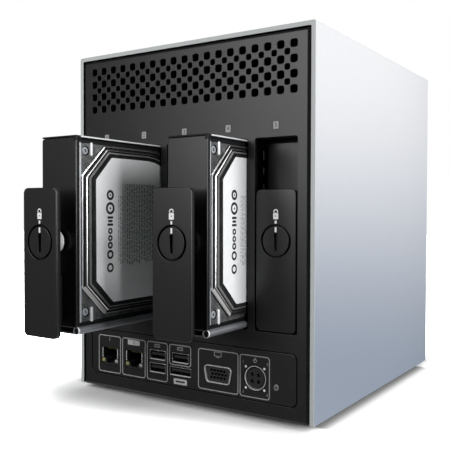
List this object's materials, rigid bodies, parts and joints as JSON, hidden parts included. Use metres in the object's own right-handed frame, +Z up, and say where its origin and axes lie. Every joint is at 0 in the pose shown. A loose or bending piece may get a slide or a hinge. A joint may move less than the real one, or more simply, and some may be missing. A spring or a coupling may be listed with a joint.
{
  "type": "network attached storage",
  "caption": "Desktop network storage unit with a silver folded casing, a charcoal rear panel with vents, sliding lockable drive trays and a row of sockets below.",
  "frame": {"origin": "on the floor under the middle of the unit's box in its rest pose, with two trays drawn out", "axes": "+Z up; -Y is the rear side with the drive bays and sockets; +X is to the right when facing the bays"},
  "size_m": [0.173, 0.28, 0.22],
  "materials": {
    "sleeve_aluminium": "satin anodised",
    "charcoal_plastic": "fine texture",
    "black_plastic": "matt",
    "tray_steel": "plain sheet",
    "lock_metal": "satin with a black face",
    "drive_casting": "cast and machined",
    "drive_lid": "stamped and polished",
    "circuit_board": "solder mask",
    "cage_metal": "black paint",
    "socket_metal": "plated shield",
    "foot_rubber": "matt",
    "heatsink_metal": "extruded",
    "lens_plastic": "frosted"
  },
  "bodies": {
    "chassis": {"outer_sleeve": "sleeve_aluminium", "rear_fascia": "charcoal_plastic", "port_panel": "charcoal_plastic", "port_panel_screw": "tray_steel", "base_plate": "black_plastic", "foot_1": "foot_rubber", "foot_2": "foot_rubber", "foot_3": "foot_rubber", "foot_4": "foot_rubber", "front_panel": "black_plastic", "status_lens": "lens_plastic", "drive_cage": "cage_metal", "backplane": "circuit_board", "main_board": "circuit_board", "processor_heatsink": "heatsink_metal", "fan_frame": "black_plastic", "lan_jack_1": "socket_metal", "lan_jack_2": "socket_metal", "usb_stack": "socket_metal", "usb_esata_stack": "socket_metal", "vga_socket": "socket_metal", "power_socket": "black_plastic"},
    "fan": {"fan_rotor": "black_plastic"},
    "button": {"power_button": "black_plastic"},
    "tray_1": {"tray_1_frame": "tray_steel", "tray_1_face": "charcoal_plastic", "tray_1_handle": "charcoal_plastic", "drive_1_body": "drive_casting", "drive_1_cover": "drive_lid", "drive_1_board": "circuit_board"},
    "lock_1": {"tray_1_lock": "lock_metal"},
    "tray_2": {"tray_2_frame": "tray_steel", "tray_2_face": "charcoal_plastic", "tray_2_handle": "charcoal_plastic", "drive_2_body": "drive_casting", "drive_2_cover": "drive_lid", "drive_2_board": "circuit_board"},
    "lock_2": {"tray_2_lock": "lock_metal"},
    "tray_3": {"tray_3_frame": "tray_steel", "tray_3_face": "charcoal_plastic", "tray_3_handle": "charcoal_plastic", "drive_3_body": "drive_casting", "drive_3_cover": "drive_lid", "drive_3_board": "circuit_board"},
    "lock_3": {"tray_3_lock": "lock_metal"},
    "tray_4": {"tray_4_frame": "tray_steel", "tray_4_face": "charcoal_plastic", "tray_4_handle": "charcoal_plastic", "drive_4_body": "drive_casting", "drive_4_cover": "drive_lid", "drive_4_board": "circuit_board"},
    "lock_4": {"tray_4_lock": "lock_metal"},
    "tray_5": {"tray_5_frame": "tray_steel", "tray_5_face": "charcoal_plastic", "tray_5_handle": "charcoal_plastic", "drive_5_body": "drive_casting", "drive_5_cover": "drive_lid", "drive_5_board": "circuit_board"},
    "lock_5": {"tray_5_lock": "lock_metal"}
  },
  "joints": [
    {"name": "tray_1_slide", "type": "slide", "parent": "chassis", "child": "tray_1", "axis": [0, -1, 0], "range_m": [0, 0.15]},
    {"name": "tray_1_lock_turn", "type": "hinge", "parent": "tray_1", "child": "lock_1", "pos_m": [-0.0627, -0.056, 0.1022], "axis": [0, 1, 0], "range_deg": [0, 90]},
    {"name": "tray_2_slide", "type": "slide", "parent": "chassis", "child": "tray_2", "axis": [0, -1, 0], "range_m": [-0.084, 0.066]},
    {"name": "tray_2_lock_turn", "type": "hinge", "parent": "tray_2", "child": "lock_2", "pos_m": [-0.03135, -0.14, 0.1022], "axis": [0, 1, 0], "range_deg": [0, 90]},
    {"name": "tray_3_slide", "type": "slide", "parent": "chassis", "child": "tray_3", "axis": [0, -1, 0], "range_m": [0, 0.15]},
    {"name": "tray_3_lock_turn", "type": "hinge", "parent": "tray_3", "child": "lock_3", "pos_m": [0, -0.056, 0.1022], "axis": [0, 1, 0], "range_deg": [0, 90]},
    {"name": "tray_4_slide", "type": "slide", "parent": "chassis", "child": "tray_4", "axis": [0, -1, 0], "range_m": [-0.0527, 0.0973]},
    {"name": "tray_4_lock_turn", "type": "hinge", "parent": "tray_4", "child": "lock_4", "pos_m": [0.03135, -0.1087, 0.1022], "axis": [0, 1, 0], "range_deg": [0, 90]},
    {"name": "tray_5_slide", "type": "slide", "parent": "chassis", "child": "tray_5", "axis": [0, -1, 0], "range_m": [0, 0.15]},
    {"name": "tray_5_lock_turn", "type": "hinge", "parent": "tray_5", "child": "lock_5", "pos_m": [0.0627, -0.056, 0.1022], "axis": [0, 1, 0], "range_deg": [0, 90]},
    {"name": "fan_spin", "type": "hinge", "parent": "chassis", "child": "fan", "pos_m": [0, 0.034, 0.1733], "axis": [0, 0, 1], "continuous": true},
    {"name": "power_button_press", "type": "slide", "parent": "chassis", "child": "button", "axis": [0, -1, 0], "range_m": [0, 0.0012], "stiffness_N_per_m": 500}
  ]
}
